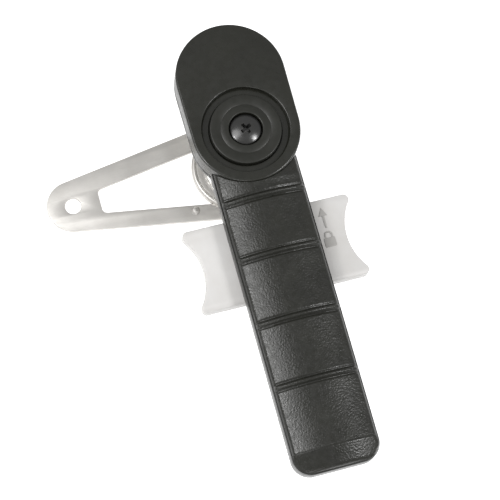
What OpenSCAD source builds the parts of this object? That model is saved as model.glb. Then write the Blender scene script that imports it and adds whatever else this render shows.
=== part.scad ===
// Hatch latch lever: a swinging dog on a stainless bracket, with a sliding lock.
// Origin on the pivot axis at the underside of the bracket plate. +Z points away from
// the hatch frame, the grip runs along -Y, the nose along +Y and the bracket arm along -X.

/* [Bracket plate] */
// Thickness of the sheet
plate_t = 1.5; // [1.2:0.1:2]
// Radius of the plate's round end under the lever
hub_r = 16.3; // [15.8:0.1:17]
// Distance from the pivot to the apex hole
apex_x = 52.3; // [48:0.1:58]
// Radius of the apex
apex_r = 8.1; // [7:0.1:9]
// Diameter of the apex hole
apex_hole_d = 5; // [4:0.1:6]
// Distance from the pivot to the window's narrow end
window_x = 43.8; // [38:0.1:43.9]
// Width of the arm on the nose side
arm_w = 6.4; // [5:0.1:7]
// Width of the arm on the grip side
thin_arm_w = 5.3; // [4.5:0.1:7]
// Radius of the pressed pad
pad_r = 13.9; // [13:0.1:14.5]
// Height of the pressed pad above the sheet
pad_rise = 1; // [0.6:0.1:1.2]
// Width of the rim around the pad
rim_w = 1.6; // [1:0.1:2]
// Height of the rim above the pad
rim_rise = 0.4; // [0.2:0.1:0.6]

/* [Pivot post] */
// Radius of the shank
shank_r = 7; // [6:0.1:7.5]
// Radius of the bearing journal
journal_r = 5; // [4.5:0.1:5.2]
// Tapping radius of the fixing thread in the foot
foot_thread_r = 2.5; // [2.1:0.1:3]
// Depth of the fixing thread
foot_thread_h = 14; // [10:0.5:16]
// Radius of the clamp screw's thread
screw_r = 2.5; // [2:0.1:2.5]
// Radius of the clamp screw's head
screw_head_r = 4.75; // [4:0.05:4.9]

/* [Lever] */
// Height of the underside of the lever's housing above the frame
lever_z = 25.5; // [24:0.5:26]
// Height of the underside of the nose and the grip above the frame
grip_z = 30; // [30:0.1:30.1]
// Height of the lower rim around the head
rim_h = 1.5; // [1.5:0.1:2]
// Height of the head cap
cap_h = 7.5; // [7.5:0.1:8]
// Radius of the head around the pivot
head_r = 16.3; // [16:0.1:16.6]
// Radius of the nose
nose_r = 16.5; // [16.4:0.1:17]
// Distance from the pivot to the centre of the nose
nose_y = 17; // [16:0.5:20]
// Width of the grip beside the head
grip_w = 26; // [25.4:0.1:26.4]
// Width of the grip at its free end
grip_end_w = 26; // [25.4:0.1:27]
// Distance from the pivot to the free end
grip_len = 103.7; // [101:0.5:112]
// Corner radius at the free end
grip_corner = 5.6; // [4:0.1:7]
// Height of the lower moulding along the grip
tray_h = 4.9; // [4.6:0.1:5]
// Height of the crown above the tray
crown_h = 3.7; // [3.2:0.1:4]
// Height by which the crown stands above its own edges
crown_rise = 2.4; // [1.8:0.1:2.6]
// Distances of the grip's cross grooves from the pivot
groove_y = [20.6, 38.2, 58.1, 77.2, 97.2]; // [19:0.1:100]

/* [Lock slide] */
// Length of the slide across the grip
slide_l = 51.4; // [48:0.2:54]
// Width of the slide along the grip
slide_w = 25.4; // [23:0.1:25.6]
// Thickness of the slide
slide_t = 4.3; // [4:0.1:4.4]
// Distance from the pivot to the middle of the slide, unlocked
slide_y = 36.6; // [36.4:0.1:36.7]
// Travel of the slide towards the pivot
slide_travel = 4.5; // [4:0.1:4.6]
// Radius of the finger hollows
finger_r = 17; // [15:0.5:20]
// Depth of the finger hollows
finger_depth = 3.65; // [3:0.05:4]
// Width of the locking tongue
tongue_w = 6; // [5:0.1:6]

/* [Hidden] */
$fn = 96;
eps = 0.01;
gap = 0.05;

// Bracket
pad_z = plate_t + pad_rise;
window_r = 1.6;
window_end_x = pad_r - 4;
spigot_r = 6.5;
flange_r = 10;
flange_t = 2;
pip = [-15.8, -10.6];
pip_r = 1.7;
pip_rise = 0.8;

// Stack along the pivot axis
shoulder_z = lever_z + 0.2;
collar_h = 3.4;
collar_r = 11.2;
collar_top = shoulder_z + collar_h;
washer_t = 0.6;
pocket_r = collar_r + 0.6;
pocket_top = collar_top + washer_t + gap;
cap_z = grip_z + rim_h;
cap_top = cap_z + cap_h;
recess_r = 13.1;
recess_z = cap_top - 1.2;
disc_gap_z = cap_top - 2.6;
disc_gap = 0.35;
well_r = 9.6;
boss_r = 9.5;
boss_top = cap_z + 1.1;
bush_r = 7;
bush_flange_t = 0.7;
bush_top = boss_top + bush_flange_t;
post_top = bush_top + 0.9;
disc_r = 10.75;
disc_step_z = disc_gap_z + 0.3;
disc_top = cap_top;
screw_seat_z = post_top + 1.5;
screw_head_h = 3.7;
screw_l = 14;
key_r = 5.6;
key_flat = 5.05;
key_play = 0.05;

// Locking notches and the stop groove in the collar
notch_r = 7.2;
notch_w = tongue_w + 0.5;
notch_angles = [180, 270, 0];
stop_r = 9;
stop_pin_r = 1;
stop_angle = 135;
swing = 90;
stop_play = 7.5;
stop_depth = 1.5;

// Lever
core_wall = 2.3;
tray_top = grip_z + tray_h;
crown_top = tray_top + crown_h;
grip_half = grip_w / 2;
end_half = grip_end_w / 2;
grip_start = 6;
crown_r = (pow(grip_half, 2) + pow(crown_rise, 2)) / (2 * crown_rise);
groove_r = 0.8;
cover_inset = 0.35;
cap_screw_at = [[-9.5, 15.2], [9.5, 15.2]];
grip_screw_at = [[0, -57.5], [0, -92.5]];
m3_r = 1.5;
m3_head_r = 2.7;
m3_head_h = 2.2;
m3_seat_z = grip_z + m3_head_h + 0.3;
m3_boss_r = 4.2;
m3_boss_top = m3_seat_z + 0.9;
m3_l = 4.4;
housing_r = pocket_r + 1.4;
housing_half = 11.7;

// Slide, tongue and detent
slide_z = lever_z + gap;
slide_top = slide_z + slide_t;
channel_top = slide_top + 0.25;
channel_near = slide_y - slide_w / 2 - slide_travel - 0.2;
channel_far = slide_y + slide_w / 2 + 0.3;
tongue_z = slide_z + 1.25;
tongue_t = 2;
tongue_tip = 12;
tongue_end = 35.7;
rivet_at = [28, 33];
ball_r = 1.5;
ball_sink = 0.5;
ball_y = slide_y + 5.8;
ball_z = slide_top - ball_sink + ball_r;
ball_pocket_r = ball_r + 0.12;

// Keeper plate under the slide
keeper_t = 1.05;
keeper_z = lever_z - keeper_t;
keeper_near = 13.4;
keeper_far = 54.2;
keeper_half = 11.6;
keeper_screw_at = [[-9.2, -15.9], [9.2, -15.9], [-9.2, -51.7], [9.2, -51.7]];
m25_r = 1.1;
m25_head_r = 2.2;
m25_head_h = 1.4;
m25_l = 7;

// Nose pad
nose_pad_t = 2.2;
nose_pad_sink = 0.6;
nose_pad_z = grip_z + nose_pad_sink - nose_pad_t;
nose_rivet_at = [[-7, 22.5], [7, 22.5]];
rivet_r = 1.25;
rivet_head_r = 2.2;
rivet_head_t = 0.6;
rivet_sink = 0.6;
rivet_top = cap_z - 0.2;
tongue_rivet_r = 1;
tongue_rivet_head_r = 1.8;
tongue_rivet_head_t = 0.7;

// Outward angle of the straight side between two circles given as [x, y, r]
function side_angle(a, b) =
    atan2(b[1] - a[1], b[0] - a[0]) - acos((a[2] - b[2]) / norm([b[0] - a[0], b[1] - a[1]]));
function on_circle(c, angle) = [c[0] + c[2] * cos(angle), c[1] + c[2] * sin(angle)];
function arc_steps(c, turn) = ceil(turn / (c[2] > 5 ? 5 : 15));

// Outline pulled tight around circles [x, y, r], listed anticlockwise
module belt(circles) {
    count = len(circles);
    polygon([for (i = [0 : count - 1])
        let (here = circles[i],
             from = side_angle(circles[(i + count - 1) % count], here),
             turn = (side_angle(here, circles[(i + 1) % count]) - from + 720) % 360,
             steps = arc_steps(here, turn))
        for (k = [0 : steps]) on_circle(here, from + turn * k / steps)]);
}

module ring(outer, inner, height) {
    difference() {
        cylinder(r = outer, h = height);
        translate([0, 0, -eps]) cylinder(r = inner, h = height + 2 * eps);
    }
}

module head_outline(grow = 0) {
    belt([[0, 0, head_r + grow], [0, nose_y, nose_r + grow]]);
}

module grip_outline(inset = 0) {
    corner = grip_corner - inset;
    small = 1;
    belt([[grip_half - inset - small, -grip_start, small],
          [-grip_half + inset + small, -grip_start, small],
          [-end_half + inset + corner, -grip_len + inset + corner, corner],
          [end_half - inset - corner, -grip_len + inset + corner, corner]]);
}

// Window in the bracket, from its narrow end to beneath the pad
module window_outline() {
    slope = (hub_r - apex_r) / apex_x;
    outer = sqrt(1 + slope * slope) * hub_r;
    function inner_y(x, arm) = outer - slope * x - arm - window_r;
    near = window_end_x;
    far = window_x - window_r;
    belt([[-near, inner_y(near, arm_w), window_r], [-far, inner_y(far, arm_w), window_r],
          [-far, -inner_y(far, thin_arm_w), window_r], [-near, -inner_y(near, thin_arm_w), window_r]]);
}

module bracket_plate() {
    color([0.80, 0.79, 0.77]) difference() {
        union() {
            linear_extrude(plate_t) {
                difference() {
                    belt([[-apex_x, 0, apex_r], [0, 0, hub_r]]);
                    window_outline();
                }
                circle(r = pad_r);
            }
            cylinder(r = pad_r, h = pad_z);
            ring(pad_r, pad_r - rim_w, pad_z + rim_rise);
            intersection() {
                translate([pip[0], pip[1], plate_t + pip_rise - pip_r]) sphere(r = pip_r, $fn = 32);
                translate([pip[0], pip[1], 0]) cylinder(r = pip_r, h = plate_t + pip_rise);
            }
        }
        translate([-apex_x, 0, -eps]) cylinder(d = apex_hole_d, h = plate_t + 2 * eps);
        translate([0, 0, -eps]) cylinder(r = spigot_r, h = pad_z + 2 * eps);
    }
}

module pivot_post() {
    color([0.72, 0.72, 0.71]) difference() {
        union() {
            cylinder(r = spigot_r, h = pad_z);
            translate([0, 0, pad_z]) cylinder(r = flange_r, h = flange_t);
            translate([0, 0, pad_z]) cylinder(r = shank_r, h = shoulder_z - pad_z);
            intersection() {
                translate([0, 0, pad_z]) cylinder(r = key_r, h = collar_top - pad_z);
                translate([-key_flat, -key_r, 0]) cube([2 * key_flat, 2 * key_r, collar_top]);
            }
            translate([0, 0, pad_z]) cylinder(r = journal_r - gap, h = post_top - pad_z);
        }
        translate([0, 0, -eps]) cylinder(r = foot_thread_r, h = foot_thread_h + eps);
        translate([0, 0, screw_seat_z - screw_l - 1]) cylinder(r = screw_r, h = screw_l);
    }
}

// Toothed collar that the tongue locks into, with the groove that stops the swing
module index_collar() {
    color([0.16, 0.16, 0.17]) difference() {
        translate([0, 0, shoulder_z]) cylinder(r = collar_r, h = collar_h - gap);
        intersection() {
            translate([0, 0, lever_z]) cylinder(r = key_r + key_play, h = collar_h + 1);
            translate([-key_flat - key_play, -key_r - 1, lever_z])
                cube([2 * (key_flat + key_play), 2 * (key_r + 1), collar_h + 1]);
        }
        for (angle = notch_angles) rotate(angle)
            translate([notch_r, -notch_w / 2, lever_z]) cube([collar_r, notch_w, collar_h + 1]);
        translate([0, 0, collar_top - gap - stop_depth]) rotate(stop_angle - swing - stop_play)
            rotate_extrude(angle = 2 * (swing + stop_play))
                translate([stop_r - stop_pin_r - 0.15, 0]) square([2 * stop_pin_r + 0.3, 2 * stop_depth]);
    }
}

module thrust_washer() {
    color([0.85, 0.84, 0.78]) translate([0, 0, collar_top])
        ring(stop_r - stop_pin_r - 0.4, journal_r + gap, washer_t);
}

module wave_spring() {
    color([0.7, 0.7, 0.7]) translate([0, 0, bush_top + gap])
        ring(bush_r + 1.3, journal_r + 0.3, post_top - bush_top - 2 * gap);
}

// Round disc in the head's recess, clamped to the post so that it never turns
module pivot_disc() {
    color([0.23, 0.23, 0.22]) difference() {
        union() {
            translate([0, 0, post_top]) cylinder(r = well_r - 0.4, h = disc_step_z - post_top + eps);
            translate([0, 0, disc_step_z]) cylinder(r = disc_r, h = disc_top - disc_step_z);
        }
        translate([0, 0, post_top - eps]) cylinder(r = screw_r + 0.2, h = disc_top);
        translate([0, 0, screw_seat_z]) cylinder(r = screw_head_r + 0.5, h = disc_top);
    }
}

// Pan head screw with a cross recess
module pivot_screw() {
    dome_r = 8;
    cross_l = 4.8;
    cross_w = 1.1;
    cross_depth = 1.9;
    head_top = screw_seat_z + screw_head_h;
    color([0.3, 0.3, 0.3]) difference() {
        union() {
            translate([0, 0, screw_seat_z - screw_l]) cylinder(r = screw_r - 0.02, h = screw_l);
            intersection() {
                translate([0, 0, screw_seat_z]) cylinder(r = screw_head_r, h = screw_head_h);
                translate([0, 0, head_top - dome_r]) sphere(r = dome_r);
            }
        }
        for (turn = [0, 90]) rotate(turn)
            translate([-cross_l / 2, -cross_w / 2, head_top - cross_depth]) cube([cross_l, cross_w, dome_r]);
    }
}

// Hollows cored into the underside of the grip, clear of the screw columns and the corners
module grip_cores() {
    rib = 1.6;
    column_r = 4.4;
    core_w = grip_half - core_wall - rib / 2;
    core_ends = [-61, -73.4, -87, -grip_len + core_wall + 1 - rib / 2];
    corner_cut = grip_corner + core_wall + 1;
    difference() {
        for (i = [0 : len(core_ends) - 2], side = [-1, 1])
            translate([side * (core_w + rib) / 2, (core_ends[i] + core_ends[i + 1]) / 2])
                square([core_w, core_ends[i] - core_ends[i + 1] - rib], center = true);
        for (at = grip_screw_at) translate(at) circle(r = column_r);
        for (side = [-1, 1]) translate([side * end_half, -grip_len]) rotate(45)
            square(corner_cut, center = true);
    }
}

// Housing of the collar and the slide, under the head and the near half of the grip
module housing_outline() {
    circle(r = housing_r);
    translate([-housing_half, -keeper_far - 0.2])
        square([2 * housing_half, keeper_far + 0.2 - pocket_r / 2]);
}

module lever_body() {
    color([0.20, 0.20, 0.19]) difference() {
        union() {
            translate([0, 0, lever_z]) linear_extrude(grip_z - lever_z + rim_h / 2) housing_outline();
            translate([0, 0, grip_z]) linear_extrude(rim_h) {
                head_outline();
                grip_outline();
            }
            translate([0, 0, cap_z]) linear_extrude(tray_top - cap_z) difference() {
                grip_outline();
                head_outline(0.15);
            }
            translate([0, 0, cap_z - eps]) cylinder(r = boss_r, h = boss_top - cap_z + eps);
            for (at = cap_screw_at) translate([at[0], at[1], cap_z - eps])
                cylinder(r = m3_boss_r, h = m3_boss_top - cap_z + eps, $fn = 48);
        }
        // Pocket for the collar, and the bush above it
        translate([0, 0, lever_z - eps]) cylinder(r = pocket_r, h = pocket_top - lever_z + eps);
        translate([0, 0, lever_z]) cylinder(r = bush_r, h = boss_top);
        // Channel for the slide, open at both sides, and the slot for its tongue
        translate([-grip_w, -channel_far, lever_z - eps])
            cube([2 * grip_w, channel_far - channel_near, channel_top - lever_z + eps]);
        translate([-tongue_w / 2 - 0.3, -channel_near - eps, tongue_z - 0.2])
            cube([tongue_w + 0.6, channel_near - 9, tongue_t + 0.4]);
        // Detent, stop pin and screws
        translate([0, -ball_y, channel_top - eps]) cylinder(r = ball_pocket_r, h = tray_h);
        rotate(stop_angle) translate([stop_r, 0, lever_z]) cylinder(r = stop_pin_r, h = cap_z - lever_z - 0.1);
        for (at = keeper_screw_at) translate([at[0], at[1], lever_z - eps])
            cylinder(r = m25_r, h = m25_l - keeper_t + 0.3, $fn = 32);
        for (at = concat(cap_screw_at, grip_screw_at)) translate([at[0], at[1], lever_z - eps]) {
            cylinder(r = m3_r + 0.1, h = tray_top - lever_z + 1, $fn = 32);
            cylinder(r = m3_head_r + 0.2, h = m3_seat_z - lever_z + eps, $fn = 48);
        }
        // Nose pad seat and its rivets
        translate([0, 0, grip_z - eps]) linear_extrude(nose_pad_sink + eps) nose_pad_outline(gap);
        for (at = nose_rivet_at) translate([at[0], at[1], grip_z])
            cylinder(r = rivet_r, h = rivet_top + gap - grip_z, $fn = 32);
        translate([0, 0, grip_z - eps]) linear_extrude(tray_h - core_wall) grip_cores();
    }
}

// Smooth raised cap over the head, hollow underneath
module head_cap() {
    post_r = 3.4;
    roof = 2.2;
    color([0.22, 0.22, 0.21]) difference() {
        translate([0, 0, cap_z]) linear_extrude(cap_h) head_outline();
        translate([0, 0, recess_z]) cylinder(r = recess_r, h = cap_h);
        translate([0, 0, disc_gap_z]) cylinder(r = disc_r + disc_gap, h = cap_h);
        translate([0, 0, cap_z - eps]) cylinder(r = well_r, h = cap_h);
        translate([0, 0, cap_z - eps]) linear_extrude(recess_z - cap_z - roof) difference() {
            head_outline(-core_wall);
            circle(r = well_r + 2);
            for (at = cap_screw_at) translate(at) circle(r = post_r);
        }
        for (at = cap_screw_at) translate([at[0], at[1], cap_z - eps]) {
            cylinder(r = m3_boss_r + gap, h = m3_boss_top + gap - cap_z, $fn = 48);
            cylinder(r = m3_r, h = m3_seat_z + m3_l + 0.2 - cap_z, $fn = 32);
        }
    }
}

// Crowned cover of the grip with its cross grooves
module grip_cover() {
    crown_axis_z = crown_top - crown_r;
    end_slope = 17;
    end_drop = 0.7;
    end_l = 20;
    color([0.17, 0.17, 0.17]) difference() {
        intersection() {
            translate([0, 0, tray_top]) linear_extrude(crown_h + 1) difference() {
                grip_outline(cover_inset);
                head_outline(0.3);
            }
            translate([0, 0, crown_axis_z]) rotate([90, 0, 0]) cylinder(r = crown_r, h = grip_len + 1, $fn = 180);
        }
        for (y = groove_y) translate([0, -y, crown_axis_z]) rotate([90, 0, 0])
            rotate_extrude($fn = 180) translate([crown_r + 0.2, 0]) circle(r = groove_r, $fn = 24);
        // The free end slopes down
        translate([-grip_w, -groove_y[4], crown_top]) rotate([end_slope, 0, 0])
            translate([0, -end_l, -end_drop]) cube([2 * grip_w, end_l, crown_h]);
        for (at = grip_screw_at) translate([at[0], at[1], tray_top - eps])
            cylinder(r = m3_r, h = m3_seat_z + m3_l + 0.2 - tray_top, $fn = 32);
    }
}

// Flanged bush that the lever turns on
module pivot_bush() {
    color([0.85, 0.84, 0.78]) difference() {
        union() {
            translate([0, 0, pocket_top]) cylinder(r = bush_r, h = bush_top - pocket_top);
            translate([0, 0, boss_top]) cylinder(r = boss_r - 0.5, h = bush_flange_t);
        }
        cylinder(r = journal_r, h = bush_top + 1);
    }
}

module nose_pad_outline(grow = 0) {
    belt([[-7.5, 22.5, 4 + grow], [7.5, 22.5, 4 + grow], [0, 26, 4.4 + grow]]);
}

// Wearing pad that bears on the hatch rim
module nose_pad() {
    color([0.85, 0.84, 0.80]) difference() {
        translate([0, 0, nose_pad_z]) linear_extrude(nose_pad_t) nose_pad_outline();
        for (at = nose_rivet_at) translate([at[0], at[1], nose_pad_z - eps]) {
            cylinder(r = rivet_r, h = nose_pad_t + 1, $fn = 32);
            cylinder(r = rivet_head_r + gap, h = rivet_head_t + rivet_sink, $fn = 48);
        }
    }
}

module nose_rivets() {
    color([0.75, 0.75, 0.74]) for (at = nose_rivet_at)
        translate([at[0], at[1], nose_pad_z + rivet_sink]) {
            cylinder(r = rivet_head_r, h = rivet_head_t - eps, $fn = 48);
            cylinder(r = rivet_r, h = rivet_top - nose_pad_z - rivet_sink, $fn = 32);
        }
}

// Plate that closes the slide's channel from below
module keeper_plate() {
    corner = 2.4;
    side = keeper_half - corner;
    color([0.72, 0.72, 0.71]) difference() {
        translate([0, 0, keeper_z]) linear_extrude(keeper_t - gap)
            belt([[side, -keeper_near - corner, corner], [-side, -keeper_near - corner, corner],
                  [-side, -keeper_far + corner, corner], [side, -keeper_far + corner, corner]]);
        for (at = keeper_screw_at) translate([at[0], at[1], keeper_z - eps])
            cylinder(r = m25_r + 0.15, h = keeper_t + 1, $fn = 32);
    }
}

// Cross-recess screw, its head below the plane it bears on
module small_screw(shank_r, shank_l, head_r, head_h) {
    slot_w = 0.5;
    difference() {
        union() {
            translate([0, 0, -head_h]) cylinder(r = shank_r, h = head_h + shank_l, $fn = 32);
            translate([0, 0, -head_h]) cylinder(r = head_r, h = head_h, $fn = 48);
        }
        for (turn = [0, 90]) rotate(turn)
            translate([-head_r / 2, -slot_w / 2, -head_h - eps]) cube([head_r, slot_w, head_h / 2]);
    }
}

module keeper_screws() {
    color([0.75, 0.75, 0.74]) for (at = keeper_screw_at)
        translate([at[0], at[1], keeper_z]) small_screw(m25_r, m25_l, m25_head_r, m25_head_h);
}

module cap_screws() {
    color([0.75, 0.75, 0.74]) for (at = cap_screw_at)
        translate([at[0], at[1], m3_seat_z]) small_screw(m3_r, m3_l, m3_head_r, m3_head_h);
}

module grip_screws() {
    color([0.75, 0.75, 0.74]) for (at = grip_screw_at)
        translate([at[0], at[1], m3_seat_z]) small_screw(m3_r, m3_l, m3_head_r, m3_head_h);
}

// Pin in the lever that runs in the collar's groove
module stop_pin() {
    color([0.75, 0.75, 0.74]) rotate(stop_angle)
        translate([stop_r, 0, collar_top - gap - stop_depth + 0.15])
            cylinder(r = stop_pin_r, h = cap_z - collar_top + stop_depth - 0.2, $fn = 32);
}

module detent_ball() {
    color([0.8, 0.8, 0.8]) translate([0, -ball_y, ball_z]) sphere(r = ball_r, $fn = 48);
}

module detent_spring() {
    spring_z = ball_z + ball_r + gap;
    color([0.7, 0.7, 0.7]) translate([0, -ball_y, spring_z])
        ring(ball_r - 0.05, ball_r - 0.5, tray_top - spring_z - gap);
}

module slide_outline() {
    difference() {
        translate([-slide_l / 2, -slide_y - slide_w / 2]) square([slide_l, slide_w]);
        for (side = [-1, 1])
            translate([side * (slide_l / 2 - finger_depth + finger_r), -slide_y]) circle(r = finger_r);
    }
}

// Sliding lock plate that crosses the grip
module lock_slide() {
    dimple_r = ball_r + 0.35;
    color([0.86, 0.85, 0.83]) difference() {
        translate([0, 0, slide_z]) linear_extrude(slide_t) slide_outline();
        // Seat of the tongue and its rivets
        translate([-tongue_w / 2 - gap, -tongue_end - 0.1, tongue_z - gap])
            cube([tongue_w + 2 * gap, tongue_end, slide_t]);
        for (y = rivet_at) translate([0, -y, slide_z - eps]) cylinder(r = tongue_rivet_r + gap, h = slide_t, $fn = 32);
        // Track of the detent ball, with a dimple at each end of the travel
        translate([0, -ball_y, ball_z]) rotate([90, 0, 0])
            cylinder(r = ball_pocket_r, h = slide_travel, $fn = 48);
        for (y = [ball_y, ball_y + slide_travel]) translate([0, -y, ball_z]) sphere(r = dimple_r, $fn = 48);
    }
}

module lock_tongue() {
    bevel = 1;
    half = tongue_w / 2;
    color([0.75, 0.75, 0.74]) difference() {
        translate([0, 0, tongue_z]) linear_extrude(tongue_t)
            polygon([[-half, -tongue_end], [half, -tongue_end], [half, -tongue_tip - bevel],
                     [half - bevel, -tongue_tip], [bevel - half, -tongue_tip], [-half, -tongue_tip - bevel]]);
        for (y = rivet_at) translate([0, -y, tongue_z - eps]) cylinder(r = tongue_rivet_r + gap, h = tongue_t + 1, $fn = 32);
    }
}

module tongue_rivets() {
    head_z = tongue_z + tongue_t;
    color([0.75, 0.75, 0.74]) for (y = rivet_at) translate([0, -y, slide_z + gap]) {
        cylinder(r = tongue_rivet_r, h = head_z - slide_z, $fn = 32);
        translate([0, 0, head_z - slide_z - gap])
            cylinder(r = tongue_rivet_head_r, h = tongue_rivet_head_t, $fn = 48);
    }
}

bracket_plate();
pivot_post();
index_collar();
thrust_washer();
wave_spring();
pivot_disc();
pivot_screw();
lever_body();
head_cap();
grip_cover();
pivot_bush();
nose_pad();
nose_rivets();
keeper_plate();
keeper_screws();
cap_screws();
grip_screws();
stop_pin();
detent_ball();
detent_spring();
lock_slide();
lock_tongue();
tongue_rivets();
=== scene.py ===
import math

import bmesh
import bpy
from mathutils import Matrix, Vector


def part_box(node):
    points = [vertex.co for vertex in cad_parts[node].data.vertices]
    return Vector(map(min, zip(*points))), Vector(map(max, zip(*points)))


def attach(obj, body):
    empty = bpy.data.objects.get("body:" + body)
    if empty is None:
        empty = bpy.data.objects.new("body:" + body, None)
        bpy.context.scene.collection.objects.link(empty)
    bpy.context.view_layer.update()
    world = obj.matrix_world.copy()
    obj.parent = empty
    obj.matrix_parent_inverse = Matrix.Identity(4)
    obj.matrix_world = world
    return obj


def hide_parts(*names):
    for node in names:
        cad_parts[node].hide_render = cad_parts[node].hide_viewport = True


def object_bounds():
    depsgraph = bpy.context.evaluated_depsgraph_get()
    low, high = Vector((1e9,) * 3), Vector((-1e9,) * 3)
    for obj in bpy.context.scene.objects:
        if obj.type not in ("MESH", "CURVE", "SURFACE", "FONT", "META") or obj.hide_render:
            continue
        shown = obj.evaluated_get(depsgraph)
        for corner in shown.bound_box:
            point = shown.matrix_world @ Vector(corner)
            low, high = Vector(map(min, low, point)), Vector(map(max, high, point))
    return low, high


# Looks of a hatch latch lever. Lengths are in millimetres until a mesh or a light is made.
MM = 0.001

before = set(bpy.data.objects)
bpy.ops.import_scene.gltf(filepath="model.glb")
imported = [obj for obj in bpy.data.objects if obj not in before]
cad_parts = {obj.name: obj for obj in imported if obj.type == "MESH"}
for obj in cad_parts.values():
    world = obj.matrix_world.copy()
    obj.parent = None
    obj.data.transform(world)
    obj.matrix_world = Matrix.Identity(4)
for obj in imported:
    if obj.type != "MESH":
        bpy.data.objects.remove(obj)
cad_low, cad_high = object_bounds()


def box_mm(node):
    low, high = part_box(node)
    return low / MM, high / MM


# Boxes of the CAD nodes that the finished shapes are built to
cap_low, cap_high = box_mm("head_cap")
cover_low, cover_high = box_mm("grip_cover")
disc_low, disc_high = box_mm("pivot_disc")
screw_low, screw_high = box_mm("pivot_screw")
slide_low, slide_high = box_mm("lock_slide")
plate_low, plate_high = box_mm("bracket_plate")
wave_low, wave_high = box_mm("wave_spring")
coil_low, coil_high = box_mm("detent_spring")
tongue_low, tongue_high = box_mm("lock_tongue")
ball_low, ball_high = box_mm("detent_ball")

nose_r = cap_high.x
head_r = -cap_low.y
nose_y = cap_high.y - nose_r


# ---------------------------------------------------------------- outlines and meshes

def arc(centre, radius, start, end, step=4):
    """Points on an arc, angles in degrees, both ends included."""
    count = max(2, math.ceil(abs(end - start) / step))
    angles = [math.radians(start + (end - start) * k / count) for k in range(count + 1)]
    return [(centre[0] + radius * math.cos(a), centre[1] + radius * math.sin(a)) for a in angles]


def circle(centre, radius, step=4):
    return arc(centre, radius, 0, 360, step)[:-1]


def belt(circles, step=4):
    """Outline pulled tight around circles (x, y, r) that are listed anticlockwise."""
    def side(a, b):
        reach = math.hypot(b[0] - a[0], b[1] - a[1])
        return math.degrees(math.atan2(b[1] - a[1], b[0] - a[0]) - math.acos((a[2] - b[2]) / reach))

    points = []
    for i, here in enumerate(circles):
        start = side(circles[i - 1], here)
        turn = (side(here, circles[(i + 1) % len(circles)]) - start) % 360
        points += arc(here[:2], here[2], start, start + turn, step)
    return points


def smooth(mesh, sharp=32):
    """Outward normals, smooth faces, and sharp edges where faces meet at more than an angle."""
    weld = 0.0005
    bm = bmesh.new()
    bm.from_mesh(mesh)
    bmesh.ops.remove_doubles(bm, verts=bm.verts, dist=weld * MM)
    bmesh.ops.recalc_face_normals(bm, faces=bm.faces)
    bm.to_mesh(mesh)
    bm.free()
    mesh.shade_smooth()
    mesh.set_sharp_from_angle(angle=math.radians(sharp))
    return mesh


def mesh_of(name, points, faces, sharp=32):
    mesh = bpy.data.meshes.new(name)
    mesh.from_pydata([Vector(p) * MM for p in points], [], faces)
    return smooth(mesh, sharp)


def loft(name, rings, closed=False, sharp=32):
    """Skin over rings of equally many points; closed joins the last ring to the first."""
    count = len(rings[0])
    points = [p for ring in rings for p in ring]
    pairs = len(rings) if closed else len(rings) - 1
    faces = []
    for i in range(pairs):
        low = i * count
        high = (i + 1) % len(rings) * count
        for k in range(count):
            after = (k + 1) % count
            faces.append((low + k, low + after, high + after, high + k))
    if not closed:
        faces.append(tuple(range(count)))
        faces.append(tuple(range(len(points) - count, len(points))))
    return mesh_of(name, points, faces, sharp)


def lathe(name, profile, centre=(0, 0), closed=False, step=3, sharp=32):
    """Profile of (radius, height) turned about an upright axis."""
    rings = [[(x, y, z) for x, y in circle(centre, r, step)] for r, z in profile]
    return loft(name, rings, closed, sharp)


def fillet(r, z, radius, start, end, step=15):
    """Rounded corner of a lathe profile about the point (r, z)."""
    return arc((r, z), radius, start, end, step)


def settled(obj, name, sharp=32):
    """The mesh of an object with its modifiers applied; the object itself is removed."""
    graph = bpy.context.evaluated_depsgraph_get()
    mesh = bpy.data.meshes.new_from_object(obj.evaluated_get(graph))
    mesh.transform(obj.matrix_world)
    mesh.name = name
    bpy.data.objects.remove(obj)
    return smooth(mesh, sharp)


def placed(name, data):
    obj = bpy.data.objects.new(name, data)
    bpy.context.scene.collection.objects.link(obj)
    return obj


def combined(mesh, others, operation, sharp=32):
    """Solid union or difference of a mesh with each of the others."""
    for other in others:
        work = placed("work", mesh)
        tool = placed("tool", other)
        modifier = work.modifiers.new("solid", "BOOLEAN")
        modifier.operation = operation
        modifier.solver = "EXACT"
        modifier.object = tool
        bpy.context.view_layer.update()
        mesh = settled(work, mesh.name, sharp)
        bpy.data.objects.remove(tool)
    return mesh


def plate(name, outlines, low, high, edge, steps=2, sharp=32):
    """Flat solid between two heights with rounded edges: an anticlockwise outline, then clockwise holes."""
    curve = bpy.data.curves.new(name, "CURVE")
    curve.dimensions = "2D"
    curve.fill_mode = "BOTH"
    curve.extrude = ((high - low) / 2 - edge) * MM
    curve.bevel_depth = edge * MM
    curve.bevel_resolution = steps
    curve.offset = -edge * MM
    for outline in outlines:
        spline = curve.splines.new("POLY")
        spline.points.add(len(outline) - 1)
        for point, (x, y) in zip(spline.points, outline):
            point.co = (x * MM, y * MM, 0, 1)
        spline.use_cyclic_u = True
    obj = placed(name, curve)
    obj.location.z = (low + high) / 2 * MM
    bpy.context.view_layer.update()
    return settled(obj, name, sharp)


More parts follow.
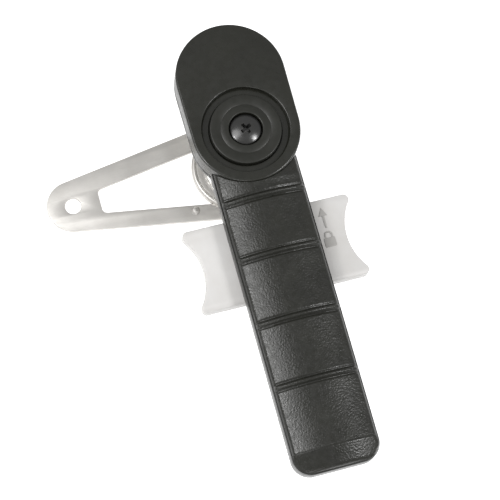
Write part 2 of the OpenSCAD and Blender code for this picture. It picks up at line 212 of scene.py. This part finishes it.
def rounded_copy(node, edge, limit=35, sharp=32):
    """A CAD node's shape with its sharp edges rounded."""
    weld = 0.002
    flat = math.radians(0.8)
    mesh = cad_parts[node].data.copy()
    mesh.materials.clear()
    bm = bmesh.new()
    bm.from_mesh(mesh)
    bmesh.ops.remove_doubles(bm, verts=bm.verts, dist=weld * MM)
    bmesh.ops.dissolve_limit(bm, angle_limit=flat, verts=bm.verts, edges=bm.edges)
    bm.to_mesh(mesh)
    bm.free()
    work = placed(node + "_work", mesh)
    bevel = work.modifiers.new("edges", "BEVEL")
    bevel.width = edge * MM
    bevel.segments = 2
    bevel.limit_method = "ANGLE"
    bevel.angle_limit = math.radians(limit)
    bpy.context.view_layer.update()
    return settled(work, node + "_shape", sharp)


def sweep(name, points, radius):
    """Round wire along a list of points."""
    curve = bpy.data.curves.new(name, "CURVE")
    curve.dimensions = "3D"
    curve.bevel_depth = radius * MM
    curve.bevel_resolution = 3
    curve.use_fill_caps = True
    spline = curve.splines.new("POLY")
    spline.points.add(len(points) - 1)
    for point, place in zip(spline.points, points):
        point.co = (*(Vector(place) * MM), 1)
    obj = placed(name, curve)
    bpy.context.view_layer.update()
    return settled(obj, name, 60)


def piece(name, mesh, body, slot, material, *nodes):
    """A finished piece that rides on a body and stands for CAD nodes."""
    mesh.materials.clear()
    mesh.materials.append(material)
    obj = placed(name, mesh)
    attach(obj, body)
    if nodes:
        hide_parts(*nodes)
    return obj


# ---------------------------------------------------------------- materials

def new_material(name):
    material = bpy.data.materials.new(name)
    material.use_nodes = True
    tree = material.node_tree
    return material, tree, tree.nodes["Principled BSDF"]


def noise(tree, size, detail=3, stretch=(1, 1, 1)):
    """Noise whose grains are about size millimetres across, longer where stretch is over 1."""
    place = tree.nodes.new("ShaderNodeTexCoord")
    scale = tree.nodes.new("ShaderNodeVectorMath")
    scale.operation = "DIVIDE"
    scale.inputs[1].default_value = [size * s * MM for s in stretch]
    tree.links.new(place.outputs["Object"], scale.inputs[0])
    texture = tree.nodes.new("ShaderNodeTexNoise")
    texture.inputs["Scale"].default_value = 1
    texture.inputs["Detail"].default_value = detail
    tree.links.new(scale.outputs["Vector"], texture.inputs["Vector"])
    return texture.outputs["Fac"]


def cells(tree, size):
    """Rounded pebbles about size millimetres across."""
    place = tree.nodes.new("ShaderNodeTexCoord")
    texture = tree.nodes.new("ShaderNodeTexVoronoi")
    texture.feature = "SMOOTH_F1"
    texture.inputs["Scale"].default_value = 1 / (size * MM)
    tree.links.new(place.outputs["Object"], texture.inputs["Vector"])
    return texture.outputs["Distance"]


def remap(tree, value, low, high, from_low=0.35, from_high=0.65):
    node = tree.nodes.new("ShaderNodeMapRange")
    node.inputs["From Min"].default_value = from_low
    node.inputs["From Max"].default_value = from_high
    node.inputs["To Min"].default_value = low
    node.inputs["To Max"].default_value = high
    tree.links.new(value, node.inputs["Value"])
    return node.outputs["Result"]


def maths(tree, operation, first, second):
    node = tree.nodes.new("ShaderNodeMath")
    node.operation = operation
    for socket, value in zip(node.inputs, (first, second)):
        if isinstance(value, (int, float)):
            socket.default_value = value
        else:
            tree.links.new(value, socket)
    return node.outputs["Value"]


def blend_colours(tree, factor, first, second):
    node = tree.nodes.new("ShaderNodeMix")
    node.data_type = "RGBA"
    tree.links.new(factor, node.inputs["Factor"])
    for socket, value in ((node.inputs[6], first), (node.inputs[7], second)):
        if isinstance(value, tuple):
            socket.default_value = (*value, 1)
        else:
            tree.links.new(value, socket)
    return node.outputs[2]


def edge_wear_and_shade(tree, radius, breakup):
    """1 along outer edges, in patches, and 0 on flat faces."""
    flat = 0.985
    at_edge = 0.88
    patch_low = 0.4
    patch_high = 0.62
    edge = tree.nodes.new("ShaderNodeBevel")
    edge.samples = 4
    edge.inputs["Radius"].default_value = radius * MM
    plain = tree.nodes.new("ShaderNodeNewGeometry")
    compare = tree.nodes.new("ShaderNodeVectorMath")
    compare.operation = "DOT_PRODUCT"
    tree.links.new(edge.outputs["Normal"], compare.inputs[0])
    tree.links.new(plain.outputs["Normal"], compare.inputs[1])
    turned = remap(tree, compare.outputs["Value"], 0, 1, flat, at_edge)
    patches = remap(tree, noise(tree, breakup), 0, 1, patch_low, patch_high)
    return maths(tree, "MULTIPLY", turned, patches)


def bumped(tree, shader, *layers):
    """Bump from layers of (height, depth in millimetres)."""
    normal = None
    for height, depth in layers:
        node = tree.nodes.new("ShaderNodeBump")
        node.inputs["Distance"].default_value = depth * MM
        tree.links.new(height, node.inputs["Height"])
        if normal:
            tree.links.new(normal, node.inputs["Normal"])
        normal = node.outputs["Normal"]
    tree.links.new(normal, shader.inputs["Normal"])


def moulded(name, colour, paler, at_edge, roughness, grain, depth, edge=0.3, specular=0.5, pebble=None):
    """Moulded plastic: mottled colour, fine grain, and edges blended to a second colour, paler where it
    stands for wear, and painted edge shade where it is darker, as on the white slide.
    """
    mottle_size = 7
    edge_patch_size = 2.5
    edge_amount = 0.55
    gloss_size = 1.6
    material, tree, shader = new_material(name)
    mottle = remap(tree, noise(tree, mottle_size), 0, 1)
    base = blend_colours(tree, mottle, colour, paler)
    edge_blend = maths(tree, "MULTIPLY", edge_wear_and_shade(tree, edge, edge_patch_size), edge_amount)
    tree.links.new(blend_colours(tree, edge_blend, base, at_edge), shader.inputs["Base Color"])
    gloss = remap(tree, noise(tree, gloss_size), roughness[0], roughness[1])
    tree.links.new(gloss, shader.inputs["Roughness"])
    shader.inputs["Specular IOR Level"].default_value = specular
    layers = [(noise(tree, grain, 4), depth)]
    if pebble:
        layers.append((cells(tree, pebble[0]), pebble[1]))
    bumped(tree, shader, *layers)
    return material


def metal(name, colour, darker, roughness, stretch, grain=0.12, depth=0.004, at_edge=(0.86, 0.86, 0.85)):
    """Steel with a drawn grain, cloudy patches and brighter edges."""
    cloud_size = 9
    edge = 0.25
    edge_patch_size = 1.5
    edge_amount = 0.6
    material, tree, shader = new_material(name)
    shader.inputs["Metallic"].default_value = 1
    cloud = remap(tree, noise(tree, cloud_size), 0, 1)
    base = blend_colours(tree, cloud, colour, darker)
    edge_blend = maths(tree, "MULTIPLY", edge_wear_and_shade(tree, edge, edge_patch_size), edge_amount)
    tree.links.new(blend_colours(tree, edge_blend, base, at_edge), shader.inputs["Base Color"])
    lines = noise(tree, grain, 2, stretch)
    gloss = remap(tree, lines, roughness[0], roughness[1])
    tree.links.new(gloss, shader.inputs["Roughness"])
    bumped(tree, shader, (lines, depth))
    return material


def turned_metal(name, colour, darker, roughness):
    """Steel with fine rings round the pivot axis."""
    ring_size = 0.18
    ring_stretch = (60, 60, 1)
    ring_depth = 0.006
    cloud_size = 5
    material, tree, shader = new_material(name)
    shader.inputs["Metallic"].default_value = 1
    rings = noise(tree, ring_size, 2, ring_stretch)
    cloud = remap(tree, noise(tree, cloud_size), 0, 1)
    tree.links.new(blend_colours(tree, cloud, colour, darker), shader.inputs["Base Color"])
    tree.links.new(remap(tree, rings, roughness[0], roughness[1]), shader.inputs["Roughness"])
    bumped(tree, shader, (rings, ring_depth))
    return material


def make_materials():
    return {
        "cap": moulded("cap_nylon", (0.0108, 0.0111, 0.008), (0.014, 0.0144, 0.0106),
                       (0.026, 0.026, 0.024), (0.24, 0.34), 0.35, 0.01, specular=0.55),
        "body": moulded("body_nylon", (0.012, 0.0123, 0.0102), (0.017, 0.0173, 0.015), (0.06, 0.06, 0.057),
                        (0.26, 0.36), 0.3, 0.01),
        "grip": moulded("pebbled_nylon", (0.0098, 0.01, 0.0074), (0.0145, 0.0148, 0.0112),
                        (0.05, 0.05, 0.046), (0.27, 0.38), 0.3, 0.02, pebble=(0.5, 0.07)),
        "disc": moulded("disc_plastic", (0.0096, 0.01, 0.0072), (0.0128, 0.0132, 0.0098),
                        (0.026, 0.026, 0.024), (0.36, 0.46), 0.25, 0.008, specular=0.45),
        "screw": moulded("black_oxide", (0.012, 0.012, 0.012), (0.02, 0.02, 0.019), (0.22, 0.21, 0.2),
                         (0.2, 0.28), 0.4, 0.006, edge=0.15, specular=0.7),
        # The white slide's darker edge colour is painted shade along its rims, not wear.
        "slide": moulded("white_acetal", (0.535, 0.523, 0.507), (0.57, 0.561, 0.55), (0.33, 0.32, 0.3),
                         (0.36, 0.46), 0.4, 0.008),
        # The raised arrow and padlock are the slide's white plastic; their grey colour is painted shade
        # standing in for the shade along their relief.
        "mark": moulded("mark_grey_painted_shade", (0.36, 0.35, 0.335), (0.4, 0.39, 0.375), (0.46, 0.45, 0.43),
                        (0.36, 0.46), 0.4, 0.008),
        "natural": moulded("natural_acetal", (0.72, 0.7, 0.62), (0.78, 0.76, 0.69), (0.62, 0.58, 0.5),
                           (0.4, 0.5), 0.35, 0.008),
        "acetal": moulded("black_acetal", (0.016, 0.016, 0.017), (0.022, 0.022, 0.023), (0.06, 0.06, 0.06),
                          (0.35, 0.45), 0.3, 0.006),
        "sheet": metal("stainless_sheet", (0.63, 0.614, 0.588), (0.55, 0.535, 0.51),
                       (0.42, 0.58), (14, 1, 1)),
        "turned": turned_metal("stainless_turned", (0.72, 0.72, 0.7), (0.6, 0.6, 0.585), (0.26, 0.4)),
        "fasteners": metal("stainless_fasteners", (0.74, 0.74, 0.73), (0.62, 0.62, 0.61), (0.24, 0.36),
                           (1, 1, 3), 0.2),
        "spring": metal("spring_steel", (0.62, 0.62, 0.62), (0.5, 0.5, 0.5), (0.2, 0.3), (1, 1, 4), 0.1),
    }


# ---------------------------------------------------------------- the head

def head_reach(angle, inset):
    """Distance from the pivot to the head's outline, moved in by inset, at an angle."""
    pivot_r = head_r - inset
    tip_r = nose_r - inset
    along = Vector((abs(math.cos(angle)), math.sin(angle)))
    lean = math.asin((pivot_r - tip_r) / nose_y)
    side = Vector((math.cos(lean), math.sin(lean)))
    touch = Vector((tip_r * side.x, nose_y + tip_r * side.y))
    slope = math.atan2(along.y, along.x)
    if slope <= lean:
        return pivot_r
    if slope <= math.atan2(touch.y, touch.x):
        return pivot_r / along.dot(side)
    return nose_y * along.y + math.sqrt((nose_y * along.y) ** 2 - nose_y ** 2 + tip_r ** 2)


def head_cap_mesh():
    """Stadium cap with a rounded rim, a round recess and a well through its middle."""
    rim = 0.6
    seam = 0.3
    wall = 2.3
    recess_r = disc_high.x + 2.35
    recess_z = cap_high.z - 1.9
    gap_r = disc_high.x + 0.14
    gap_z = disc_low.z + 2.2
    well_r = 9.6
    well_wall = 2
    dish_r = 15.3
    dish = 0.18
    lip = 0.35
    chamfer = 0.2
    top = cap_high.z
    low = cap_low.z
    count = 240
    angles = [2 * math.pi * k / count for k in range(count)]

    def outline(inset, z):
        return [(head_reach(a, inset) * math.cos(a), head_reach(a, inset) * math.sin(a), z) for a in angles]

    def round_ring(r, z):
        return [(r * math.cos(a), r * math.sin(a), z) for a in angles]

    rings = [outline(wall, low), outline(seam, low), outline(seam, low + seam), outline(0, low + 2 * seam)]
    for x, z in fillet(0, top - rim, rim, 0, 90, 15):
        rings.append(outline(rim - x, z))
    rings += [round_ring(dish_r, top), round_ring(recess_r + lip, top - dish)]
    for x, z in fillet(recess_r + lip, top - dish - lip, lip, 90, 180, 22.5)[1:]:
        rings.append(round_ring(x, z))
    rings += [round_ring(recess_r, recess_z + lip), round_ring(recess_r - lip, recess_z)]
    rings += [round_ring(gap_r + chamfer, recess_z), round_ring(gap_r, recess_z - chamfer)]
    rings.append(round_ring(gap_r, gap_z))
    rings += [round_ring(well_r, gap_z), round_ring(well_r, low), round_ring(well_r + well_wall, low)]
    rings += [round_ring(well_r + well_wall, recess_z - wall), outline(wall, recess_z - wall)]
    return loft("head_cap_shape", rings, closed=True, sharp=40)


def pivot_disc_mesh():
    """Flat disc with a chamfered rim, a fine ring turned in its face and the screw's counterbore."""
    top = disc_high.z
    outer = disc_high.x
    bore = 5.05
    hole = 2.7
    seat = 1.5
    hub = 9.2
    step_z = disc_low.z + 2.5
    ring_r = 7.55
    ring_w = 0.22
    ring_d = 0.12
    chamfer = 0.2
    rim = 0.4
    lip = 0.35
    profile = [(hole, disc_low.z), (hub, disc_low.z), (hub, step_z)]
    profile += [(outer - chamfer, step_z), (outer, step_z + chamfer)]
    profile += fillet(outer - rim, top - rim, rim, 0, 90)
    profile += [(ring_r + ring_w, top), (ring_r, top - ring_d), (ring_r - ring_w, top)]
    profile += fillet(bore + lip, top - lip, lip, 90, 180)
    profile += [(bore, disc_low.z + seat), (hole, disc_low.z + seat)]
    return lathe("pivot_disc_shape", profile, closed=True)


def cross_blade(top, turn):
    """One tapering blade of the cross recess."""
    mouth = (top + 0.2, 4.1, 1.1)
    tip = (top - 1.9, 1.5, 0.75)
    rings = []
    for z, length, width in (mouth, tip):
        corners = ((length, width), (-length, width), (-length, -width), (length, -width))
        spin = Matrix.Rotation(turn, 2)
        flat = [spin @ Vector((x / 2, y / 2)) for x, y in corners]
        rings.append([(p.x, p.y, z) for p in flat])
    return loft("blade", rings)


def pivot_screw_mesh():
    """Pan head screw: a dome with a rolled edge, a cross recess and a plain shank."""
    dome_r = 9.5
    head = screw_high.x
    roll = 0.6
    top = screw_high.z
    seat_z = disc_low.z + 1.5
    shank = 2.48
    middle_r = 0.2
    dome_steps = (1, 1.7, 2.4, 3, 3.5, 3.9)
    sag = 0.02
    chamfer = 0.15
    point = 0.5
    edge_r = head - roll
    edge_z = top - dome_r + math.sqrt(dome_r ** 2 - edge_r ** 2)
    profile = [(middle_r, top)]
    profile += [(r, top - dome_r + math.sqrt(dome_r ** 2 - r * r)) for r in dome_steps]
    profile += [(edge_r + roll * math.sin(a), edge_z - roll * (1 - math.cos(a)) - sag * a)
                for a in (math.radians(15 * k) for k in range(2, 7))]
    profile += [(head, seat_z + chamfer), (head - chamfer, seat_z), (shank, seat_z)]
    profile += [(shank, screw_low.z + point), (shank - point, screw_low.z)]
    mesh = lathe("pivot_screw_shape", profile)
    turn = math.radians(28)
    return combined(mesh, [cross_blade(top, turn), cross_blade(top, turn + math.pi / 2)], "DIFFERENCE")


# ---------------------------------------------------------------- the grip

groove_y = (20.6, 38.2, 58.1, 77.2)
end_step_y = 97.2
cover_corner = 5.25
cover_start_r = head_r + 0.1


def cover_end(x):
    """Distance from the pivot to the free end of the cover, at a distance x from its middle."""
    flat = cover_high.x - cover_corner
    reach = -cover_low.y - cover_corner
    over = min(cover_corner, max(0, abs(x) - flat))
    return reach + math.sqrt(cover_corner ** 2 - over ** 2)


def rim_distance(x, y):
    """Distance from a point of the cover in to its nearest side or its free end."""
    flat = cover_high.x - cover_corner
    reach = -cover_low.y - cover_corner
    side = cover_high.x - abs(x)
    end = -cover_low.y - y
    if abs(x) > flat and y > reach:
        side = end = cover_corner - math.hypot(abs(x) - flat, y - reach)
    return max(0, min(side, end))


def ridge_height(y):
    """Bead between two narrow grooves across the grip at each finger line, hollows between."""
    bead_h = 0.7
    bead_w = 0.72
    groove_d = 0.34
    groove_w = 0.42
    groove_off = 1.08
    scallop = 0.22
    stops = (cover_start_r,) + groove_y + (end_step_y,)
    height = 0
    for near, far in zip(stops, stops[1:]):
        if near < y < far:
            height -= scallop * math.sin(math.pi * (y - near) / (far - near))
    for line in groove_y:
        off = abs(y - line)
        height += bead_h * max(0, 1 - (off / bead_w) ** 2)
        height -= groove_d * max(0, 1 - ((off - groove_off) / groove_w) ** 2)
    return height


def cover_height(x, y):
    """Height of the cover's top at a point."""
    crown = 2.4
    crown_power = 2.2
    rim = 1.1
    step = 0.45
    slope = math.tan(math.radians(16))
    groove_d = 0.4
    groove_w = 0.4
    floor = cover_low.z + 0.12
    z = cover_high.z - crown * (abs(x) / cover_high.x) ** crown_power + ridge_height(y)
    z -= groove_d * max(0, 1 - ((y - end_step_y) / groove_w) ** 2)
    if y > end_step_y:
        z -= min(step, y - end_step_y) + slope * (y - end_step_y)
    q = 1 - min(1, rim_distance(x, y) / rim)
    z -= min(rim, max(0, z - floor)) * (1 - math.sqrt(1 - q * q))
    return max(z, floor)


def cover_rows():
    """Grid of places on the cover, row by row from the head: (off the middle, from the pivot)."""
    columns = 56
    spacing = 0.25
    near = 18.4
    far = 96.2
    head_rows = 12
    end_rows = 36
    shares = [math.sin(math.pi / 2 * (2 * k / columns - 1)) for k in range(columns + 1)]
    offsets = [share * cover_high.x for share in shares]

    def head_arc(x):
        return math.sqrt(cover_start_r ** 2 - x * x)

    rows = []
    for k in range(head_rows):
        t = k / head_rows
        rows.append([(x, (1 - t) * head_arc(x) + t * near) for x in offsets])
    count = round((far - near) / spacing)
    for k in range(count):
        y = near + (far - near) * k / count
        rows.append([(x, y) for x in offsets])
    for k in range(end_rows + 1):
        t = k / end_rows
        rows.append([(x, (1 - t) * far + t * cover_end(x)) for x in offsets])
    return rows


def grip_cover_mesh():
    """Crowned cover as a fine grid, closed by straight sides and a flat underside."""
    rows = cover_rows()
    wide = len(rows[0])
    points = [(x, -y, cover_height(x, y)) for line in rows for x, y in line]
    faces = []
    for i in range(len(rows) - 1):
        for k in range(wide - 1):
            a = i * wide + k
            faces.append((a, a + 1, a + wide + 1, a + wide))
    border = list(range(wide))
    border += [i * wide + wide - 1 for i in range(1, len(rows))]
    border += [(len(rows) - 1) * wide + k for k in range(wide - 2, -1, -1)]
    border += [i * wide for i in range(len(rows) - 2, 0, -1)]
    base = len(points)
    points += [(points[b][0], points[b][1], cover_low.z) for b in border]
    for k, b in enumerate(border):
        after = (k + 1) % len(border)
        faces.append((b, border[after], base + after, base + k))
    faces.append(tuple(range(base, base + len(border))))
    return mesh_of("grip_cover_shape", points, faces, sharp=50)


# ---------------------------------------------------------------- the lock slide

def slide_outline():
    """Plate with a finger hollow in each end and softened corners."""
    hollow_r = 17
    hollow_d = 3.65
    corner = 1.65
    middle = (slide_low.y + slide_high.y) / 2
    half_w = (slide_high.y - slide_low.y) / 2
    hollow_x = slide_high.x - hollow_d + hollow_r
    rise = half_w - corner
    corner_x = hollow_x - math.sqrt((hollow_r + corner) ** 2 - rise ** 2)
    lean = math.degrees(math.atan2(rise, hollow_x - corner_x))
    right = arc((corner_x, middle - rise), corner, -90, lean, 15)
    right += arc((hollow_x, middle), hollow_r, 180 + lean, 180 - lean, 3)
    right += arc((corner_x, middle + rise), corner, -lean, 90, 15)
    left = [(-x, y) for x, y in reversed(right)]
    return right + left


def ball_track():
    """Groove that the detent ball runs in, as long as the slide's travel."""
    radius = 1.65
    travel = 4.5
    steps = 6
    x = 0
    y = (ball_low.y + ball_high.y) / 2
    z = (ball_low.z + ball_high.z) / 2
    rings = []
    for k in range(1 - steps, steps):
        angle = math.pi / 2 * k / steps
        reach = y - travel if k < 0 else y
        size = radius * math.cos(angle)
        level = reach + radius * math.sin(angle)
        rings.append([(x + a, level, z + b) for a, b in circle((0, 0), size, 15)])
    return loft("track", rings)


def tongue_seat():
    play = 0.05
    low = (tongue_low.x - play, tongue_low.y - play, tongue_low.z - play)
    high = (tongue_high.x + play, slide_high.y + 1, slide_high.z + 1)
    rings = [[(low[0], low[1], z), (high[0], low[1], z), (high[0], high[1], z), (low[0], high[1], z)]
             for z in (low[2], high[2])]
    return loft("seat", rings)


def lock_slide_mesh():
    rim = 0.55
    mesh = plate("lock_slide_shape", [slide_outline()], slide_low.z, slide_high.z, rim, 1)
    return combined(mesh, [tongue_seat(), ball_track()], "DIFFERENCE")


def lock_mark_mesh():
    """Flat arrow towards the head, with a closed padlock behind it."""
    x = 16.6
    tip_y = slide_high.y - 2.6
    head_half = 1.3
    head_l = 2.6
    stem = 0.3
    arrow_l = 6.4
    case_half = 1.4
    case_h = 2.2
    case_r = 0.3
    bow_outer = 1.25
    bow_inner = 0.75
    leg = 0.75
    rise = 0.2
    neck_y = tip_y - head_l
    tail_y = tip_y - arrow_l
    lock_y = tip_y - 12
    bow_y = lock_y + 3.32
    arrow = [(x, tip_y), (x - head_half, neck_y), (x - stem, neck_y), (x - stem, tail_y),
             (x + stem, tail_y), (x + stem, neck_y), (x + head_half, neck_y)]
    case = belt([(x - case_half, lock_y, case_r), (x + case_half, lock_y, case_r),
                 (x + case_half, lock_y + case_h, case_r), (x - case_half, lock_y + case_h, case_r)], 30)
    bow = arc((x, bow_y), bow_outer, 0, 180, 15)
    bow += [(x - bow_outer, bow_y - leg), (x - bow_inner, bow_y - leg)]
    bow += arc((x, bow_y), bow_inner, 180, 0, 15)
    bow += [(x + bow_inner, bow_y - leg), (x + bow_outer, bow_y - leg)]
    low = slide_high.z - 0.05
    return plate("lock_mark_shape", [arrow[::-1], case, bow], low, slide_high.z + rise, 0.06, 1)


# ---------------------------------------------------------------- the bracket

def bracket_outlines():
    """Rounded triangle round the pivot and the apex, then its window and the apex hole, clockwise."""
    hub_r = plate_high.x
    apex_r = 8.1
    apex_x = -plate_low.x - apex_r
    hole_r = 2.5
    arms = (6.4, 5.3)
    corner = 1.6
    window_near = 9.9
    window_far = 43.8 - corner
    slope = (hub_r - apex_r) / apex_x
    outer = math.sqrt(1 + slope * slope) * hub_r

    def inner(x, arm):
        return outer - slope * x - arm - corner

    outline = belt([(-apex_x, 0, apex_r), (0, 0, hub_r)], 3)
    window = belt([(-window_near, inner(window_near, arms[0]), corner),
                   (-window_far, inner(window_far, arms[0]), corner),
                   (-window_far, -inner(window_far, arms[1]), corner),
                   (-window_near, -inner(window_near, arms[1]), corner)], 10)
    hole = circle((-apex_x, 0), hole_r)
    return [outline, window[::-1], hole[::-1]]


def bracket_mesh():
    """Triangular plate with a window, an apex hole, a pressed pad and a locating pip."""
    sheet_t = 1.5
    edge = 0.28
    pad_r = 13.9
    pad_z = 2.5
    pad_low = 0.001
    foot = 0.2
    rim = 0.8
    bank = 2.1
    dish = 2.7
    ease = 0.05
    middle_r = 0.5
    bore_r = 6.5
    crest = plate_high.z
    pip_at = (-15.8, -10.6)
    mesh = plate("bracket_shape", bracket_outlines(), 0, sheet_t, edge)
    pad = [(middle_r, pad_low), (pad_r - foot, pad_low), (pad_r, foot)]
    pad += fillet(pad_r - rim, crest - rim, rim, 0, 150)
    pad += [(pad_r - bank, pad_z + ease), (pad_r - dish, pad_z), (middle_r, pad_z)]
    pip = [(1.4, sheet_t - 0.5), (1.4, sheet_t), (1.2, sheet_t + 0.25), (1.05, sheet_t + 0.5),
           (0.8, sheet_t + 0.7), (0.4, sheet_t + 0.79), (0.1, sheet_t + 0.8)]
    bore = [(bore_r, -1), (bore_r, pad_z + 1)]
    mesh = combined(mesh, [lathe("pad", pad), lathe("pip", pip, pip_at)], "UNION", 25)
    return combined(mesh, [lathe("bore", bore)], "DIFFERENCE", 25)


# ---------------------------------------------------------------- springs

def wave_spring_mesh():
    """Thin steel ring with three waves."""
    waves = 3
    width = 3
    thick = 0.25
    inner = wave_high.x - width
    middle = (wave_low.z + wave_high.z) / 2
    swing = (wave_high.z - wave_low.z - thick) / 2
    count = 144
    points = []
    for k in range(count):
        a = 2 * math.pi * k / count
        z = middle + swing * math.cos(waves * a)
        for r, lift in ((inner, -1), (wave_high.x, -1), (wave_high.x, 1), (inner, 1)):
            points.append((r * math.cos(a), r * math.sin(a), z + lift * thick / 2))
    faces = []
    for k in range(count):
        here = 4 * k
        after = 4 * ((k + 1) % count)
        for j in range(4):
            faces.append((here + j, here + (j + 1) % 4, after + (j + 1) % 4, after + j))
    return mesh_of("wave_spring_shape", points, faces)


def detent_spring_mesh():
    """Small compression spring over the detent ball."""
    wire = 0.18
    turns = 4
    steps = 20
    radius = coil_high.x - wire
    y = (coil_low.y + coil_high.y) / 2
    rise = coil_high.z - coil_low.z - 2 * wire
    points = []
    for k in range(turns * steps + 1):
        a = 2 * math.pi * k / steps
        z = coil_low.z + wire + rise * k / (turns * steps)
        points.append((radius * math.cos(a), y + radius * math.sin(a), z))
    return sweep("detent_spring_shape", points, wire)


# ---------------------------------------------------------------- building the object

looks = make_materials()

piece("head_cap_moulding", head_cap_mesh(), "lever", "black_nylon_cap", looks["cap"], "head_cap")
piece("grip_cover_moulding", grip_cover_mesh(), "lever", "pebbled_grip", looks["grip"], "grip_cover")
piece("pivot_disc_turned", pivot_disc_mesh(), "bracket", "black_disc", looks["disc"], "pivot_disc")
piece("pivot_screw_cross", pivot_screw_mesh(), "bracket", "black_screw", looks["screw"], "pivot_screw")
piece("lock_slide_moulding", lock_slide_mesh(), "lock", "white_slide", looks["slide"], "lock_slide")
piece("lock_mark", lock_mark_mesh(), "lock", "white_slide", looks["mark"])
piece("bracket_pressing", bracket_mesh(), "bracket", "stainless_sheet", looks["sheet"], "bracket_plate")
piece("wave_spring_ring", wave_spring_mesh(), "bracket", "spring_steel", looks["spring"], "wave_spring")
piece("detent_coil", detent_spring_mesh(), "lever", "spring_steel", looks["spring"], "detent_spring")

# Nodes whose CAD shape is right get rounded edges: node, body, slot, material, edge radius
ROUNDED = (
    ("lever_body", "lever", "black_nylon_body", "body", 0.35),
    ("pivot_post", "bracket", "stainless_turned", "turned", 0.2),
    ("index_collar", "bracket", "black_acetal", "acetal", 0.15),
    ("thrust_washer", "bracket", "natural_acetal", "natural", 0.08),
    ("pivot_bush", "lever", "natural_acetal", "natural", 0.12),
    ("nose_pad", "lever", "natural_acetal", "natural", 0.3),
    ("nose_rivets", "lever", "stainless_fasteners", "fasteners", 0.15),
    ("keeper_plate", "lever", "stainless_sheet", "sheet", 0.2),
    ("keeper_screws", "lever", "stainless_fasteners", "fasteners", 0.15),
    ("cap_screws", "lever", "stainless_fasteners", "fasteners", 0.15),
    ("grip_screws", "lever", "stainless_fasteners", "fasteners", 0.15),
    ("stop_pin", "lever", "stainless_fasteners", "fasteners", 0.12),
    ("lock_tongue", "lock", "stainless_sheet", "sheet", 0.15),
    ("tongue_rivets", "lock", "stainless_fasteners", "fasteners", 0.12),
)
for node, body, slot_name, look, edge_r in ROUNDED:
    piece(node + "_finished", rounded_copy(node, edge_r), body, slot_name, looks[look], node)

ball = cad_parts["detent_ball"]
ball.data.materials.clear()
ball.data.materials.append(looks["spring"])


# ---------------------------------------------------------------- floor, light and camera

# The camera looks down the pivot axis: tilt leans it towards the grip, turn and roll slant the grip
turn = math.radians(14.77)
tilt = math.radians(16.36)
roll = math.radians(18.03)
level = Vector((math.cos(turn), -math.sin(turn), 0))
ahead = Vector((math.sin(turn), math.cos(turn), 0))
away = math.sin(roll) * level + math.cos(roll) * ahead
across = math.cos(roll) * level - math.sin(roll) * ahead
lift = math.cos(tilt) * away + math.sin(tilt) * Vector((0, 0, 1))
towards = math.cos(tilt) * Vector((0, 0, 1)) - math.sin(tilt) * away
right = math.sin(roll) * lift + math.cos(roll) * across
up = math.cos(roll) * lift - math.sin(roll) * across


def add_camera():
    target = Vector((-7.33, -33.98, 30))
    distance = 600
    seen_width = 147.5
    camera = bpy.data.cameras.new("camera")
    camera.sensor_width = 36
    camera.lens = camera.sensor_width * distance / seen_width
    camera.clip_start = 0.01
    camera.clip_end = 20
    obj = placed("camera", camera)
    obj.matrix_world = Matrix((
        (right.x, up.x, towards.x, 0),
        (right.y, up.y, towards.y, 0),
        (right.z, up.z, towards.z, 0),
        (0, 0, 0, 1)))
    obj.location = (target + distance * towards) * MM
    bpy.context.scene.camera = obj


def softbox(name, sideways, upwards, off_axis, size, radiance, distance=450):
    """Round lamp seen off_axis degrees from the camera's direction, towards (sideways, upwards)."""
    middle = Vector((0, -30, 25))
    aim = (sideways * right + upwards * up).normalized()
    angle = math.radians(off_axis)
    direction = math.cos(angle) * towards + math.sin(angle) * aim
    lamp = bpy.data.lights.new(name, "AREA")
    lamp.shape = "DISK"
    lamp.size = size * MM
    lamp.energy = radiance * math.pi * math.pi * (size * MM / 2) ** 2
    obj = placed(name, lamp)
    obj.location = (middle + distance * direction) * MM
    obj.rotation_mode = "QUATERNION"
    obj.rotation_quaternion = direction.to_track_quat("Z", "Y")


def add_floor():
    size = 4
    drop = 0.05
    low = cad_low.z - drop * MM
    corners = [(-size, -size, low), (size, -size, low), (size, size, low), (-size, size, low)]
    mesh = bpy.data.meshes.new("floor")
    mesh.from_pydata(corners, [], [(0, 1, 2, 3)])
    material, tree, shader = new_material("pale_floor")
    shader.inputs["Base Color"].default_value = (0.86, 0.86, 0.86, 1)
    shader.inputs["Roughness"].default_value = 0.9
    shader.inputs["Emission Color"].default_value = (1, 1, 1, 1)
    shader.inputs["Emission Strength"].default_value = 0.6
    mesh.materials.append(material)
    placed("floor", mesh)


def add_world():
    world = bpy.data.worlds.new("studio")
    bpy.context.scene.world = world
    world.use_nodes = True
    background = world.node_tree.nodes["Background"]
    background.inputs["Color"].default_value = (1, 1, 1, 1)
    background.inputs["Strength"].default_value = 0.5


add_camera()
softbox("left_lamp", -1, 0.08, 35, 100, 24)
softbox("right_lamp", 1, 0.1, 41, 110, 26)
softbox("top_left_lamp", -0.8, 0.55, 31, 240, 4.4)
softbox("grip_end_lamp", -0.1, -1, 49, 200, 3)
add_floor()
add_world()
bpy.context.scene.view_settings.view_transform = "Standard"
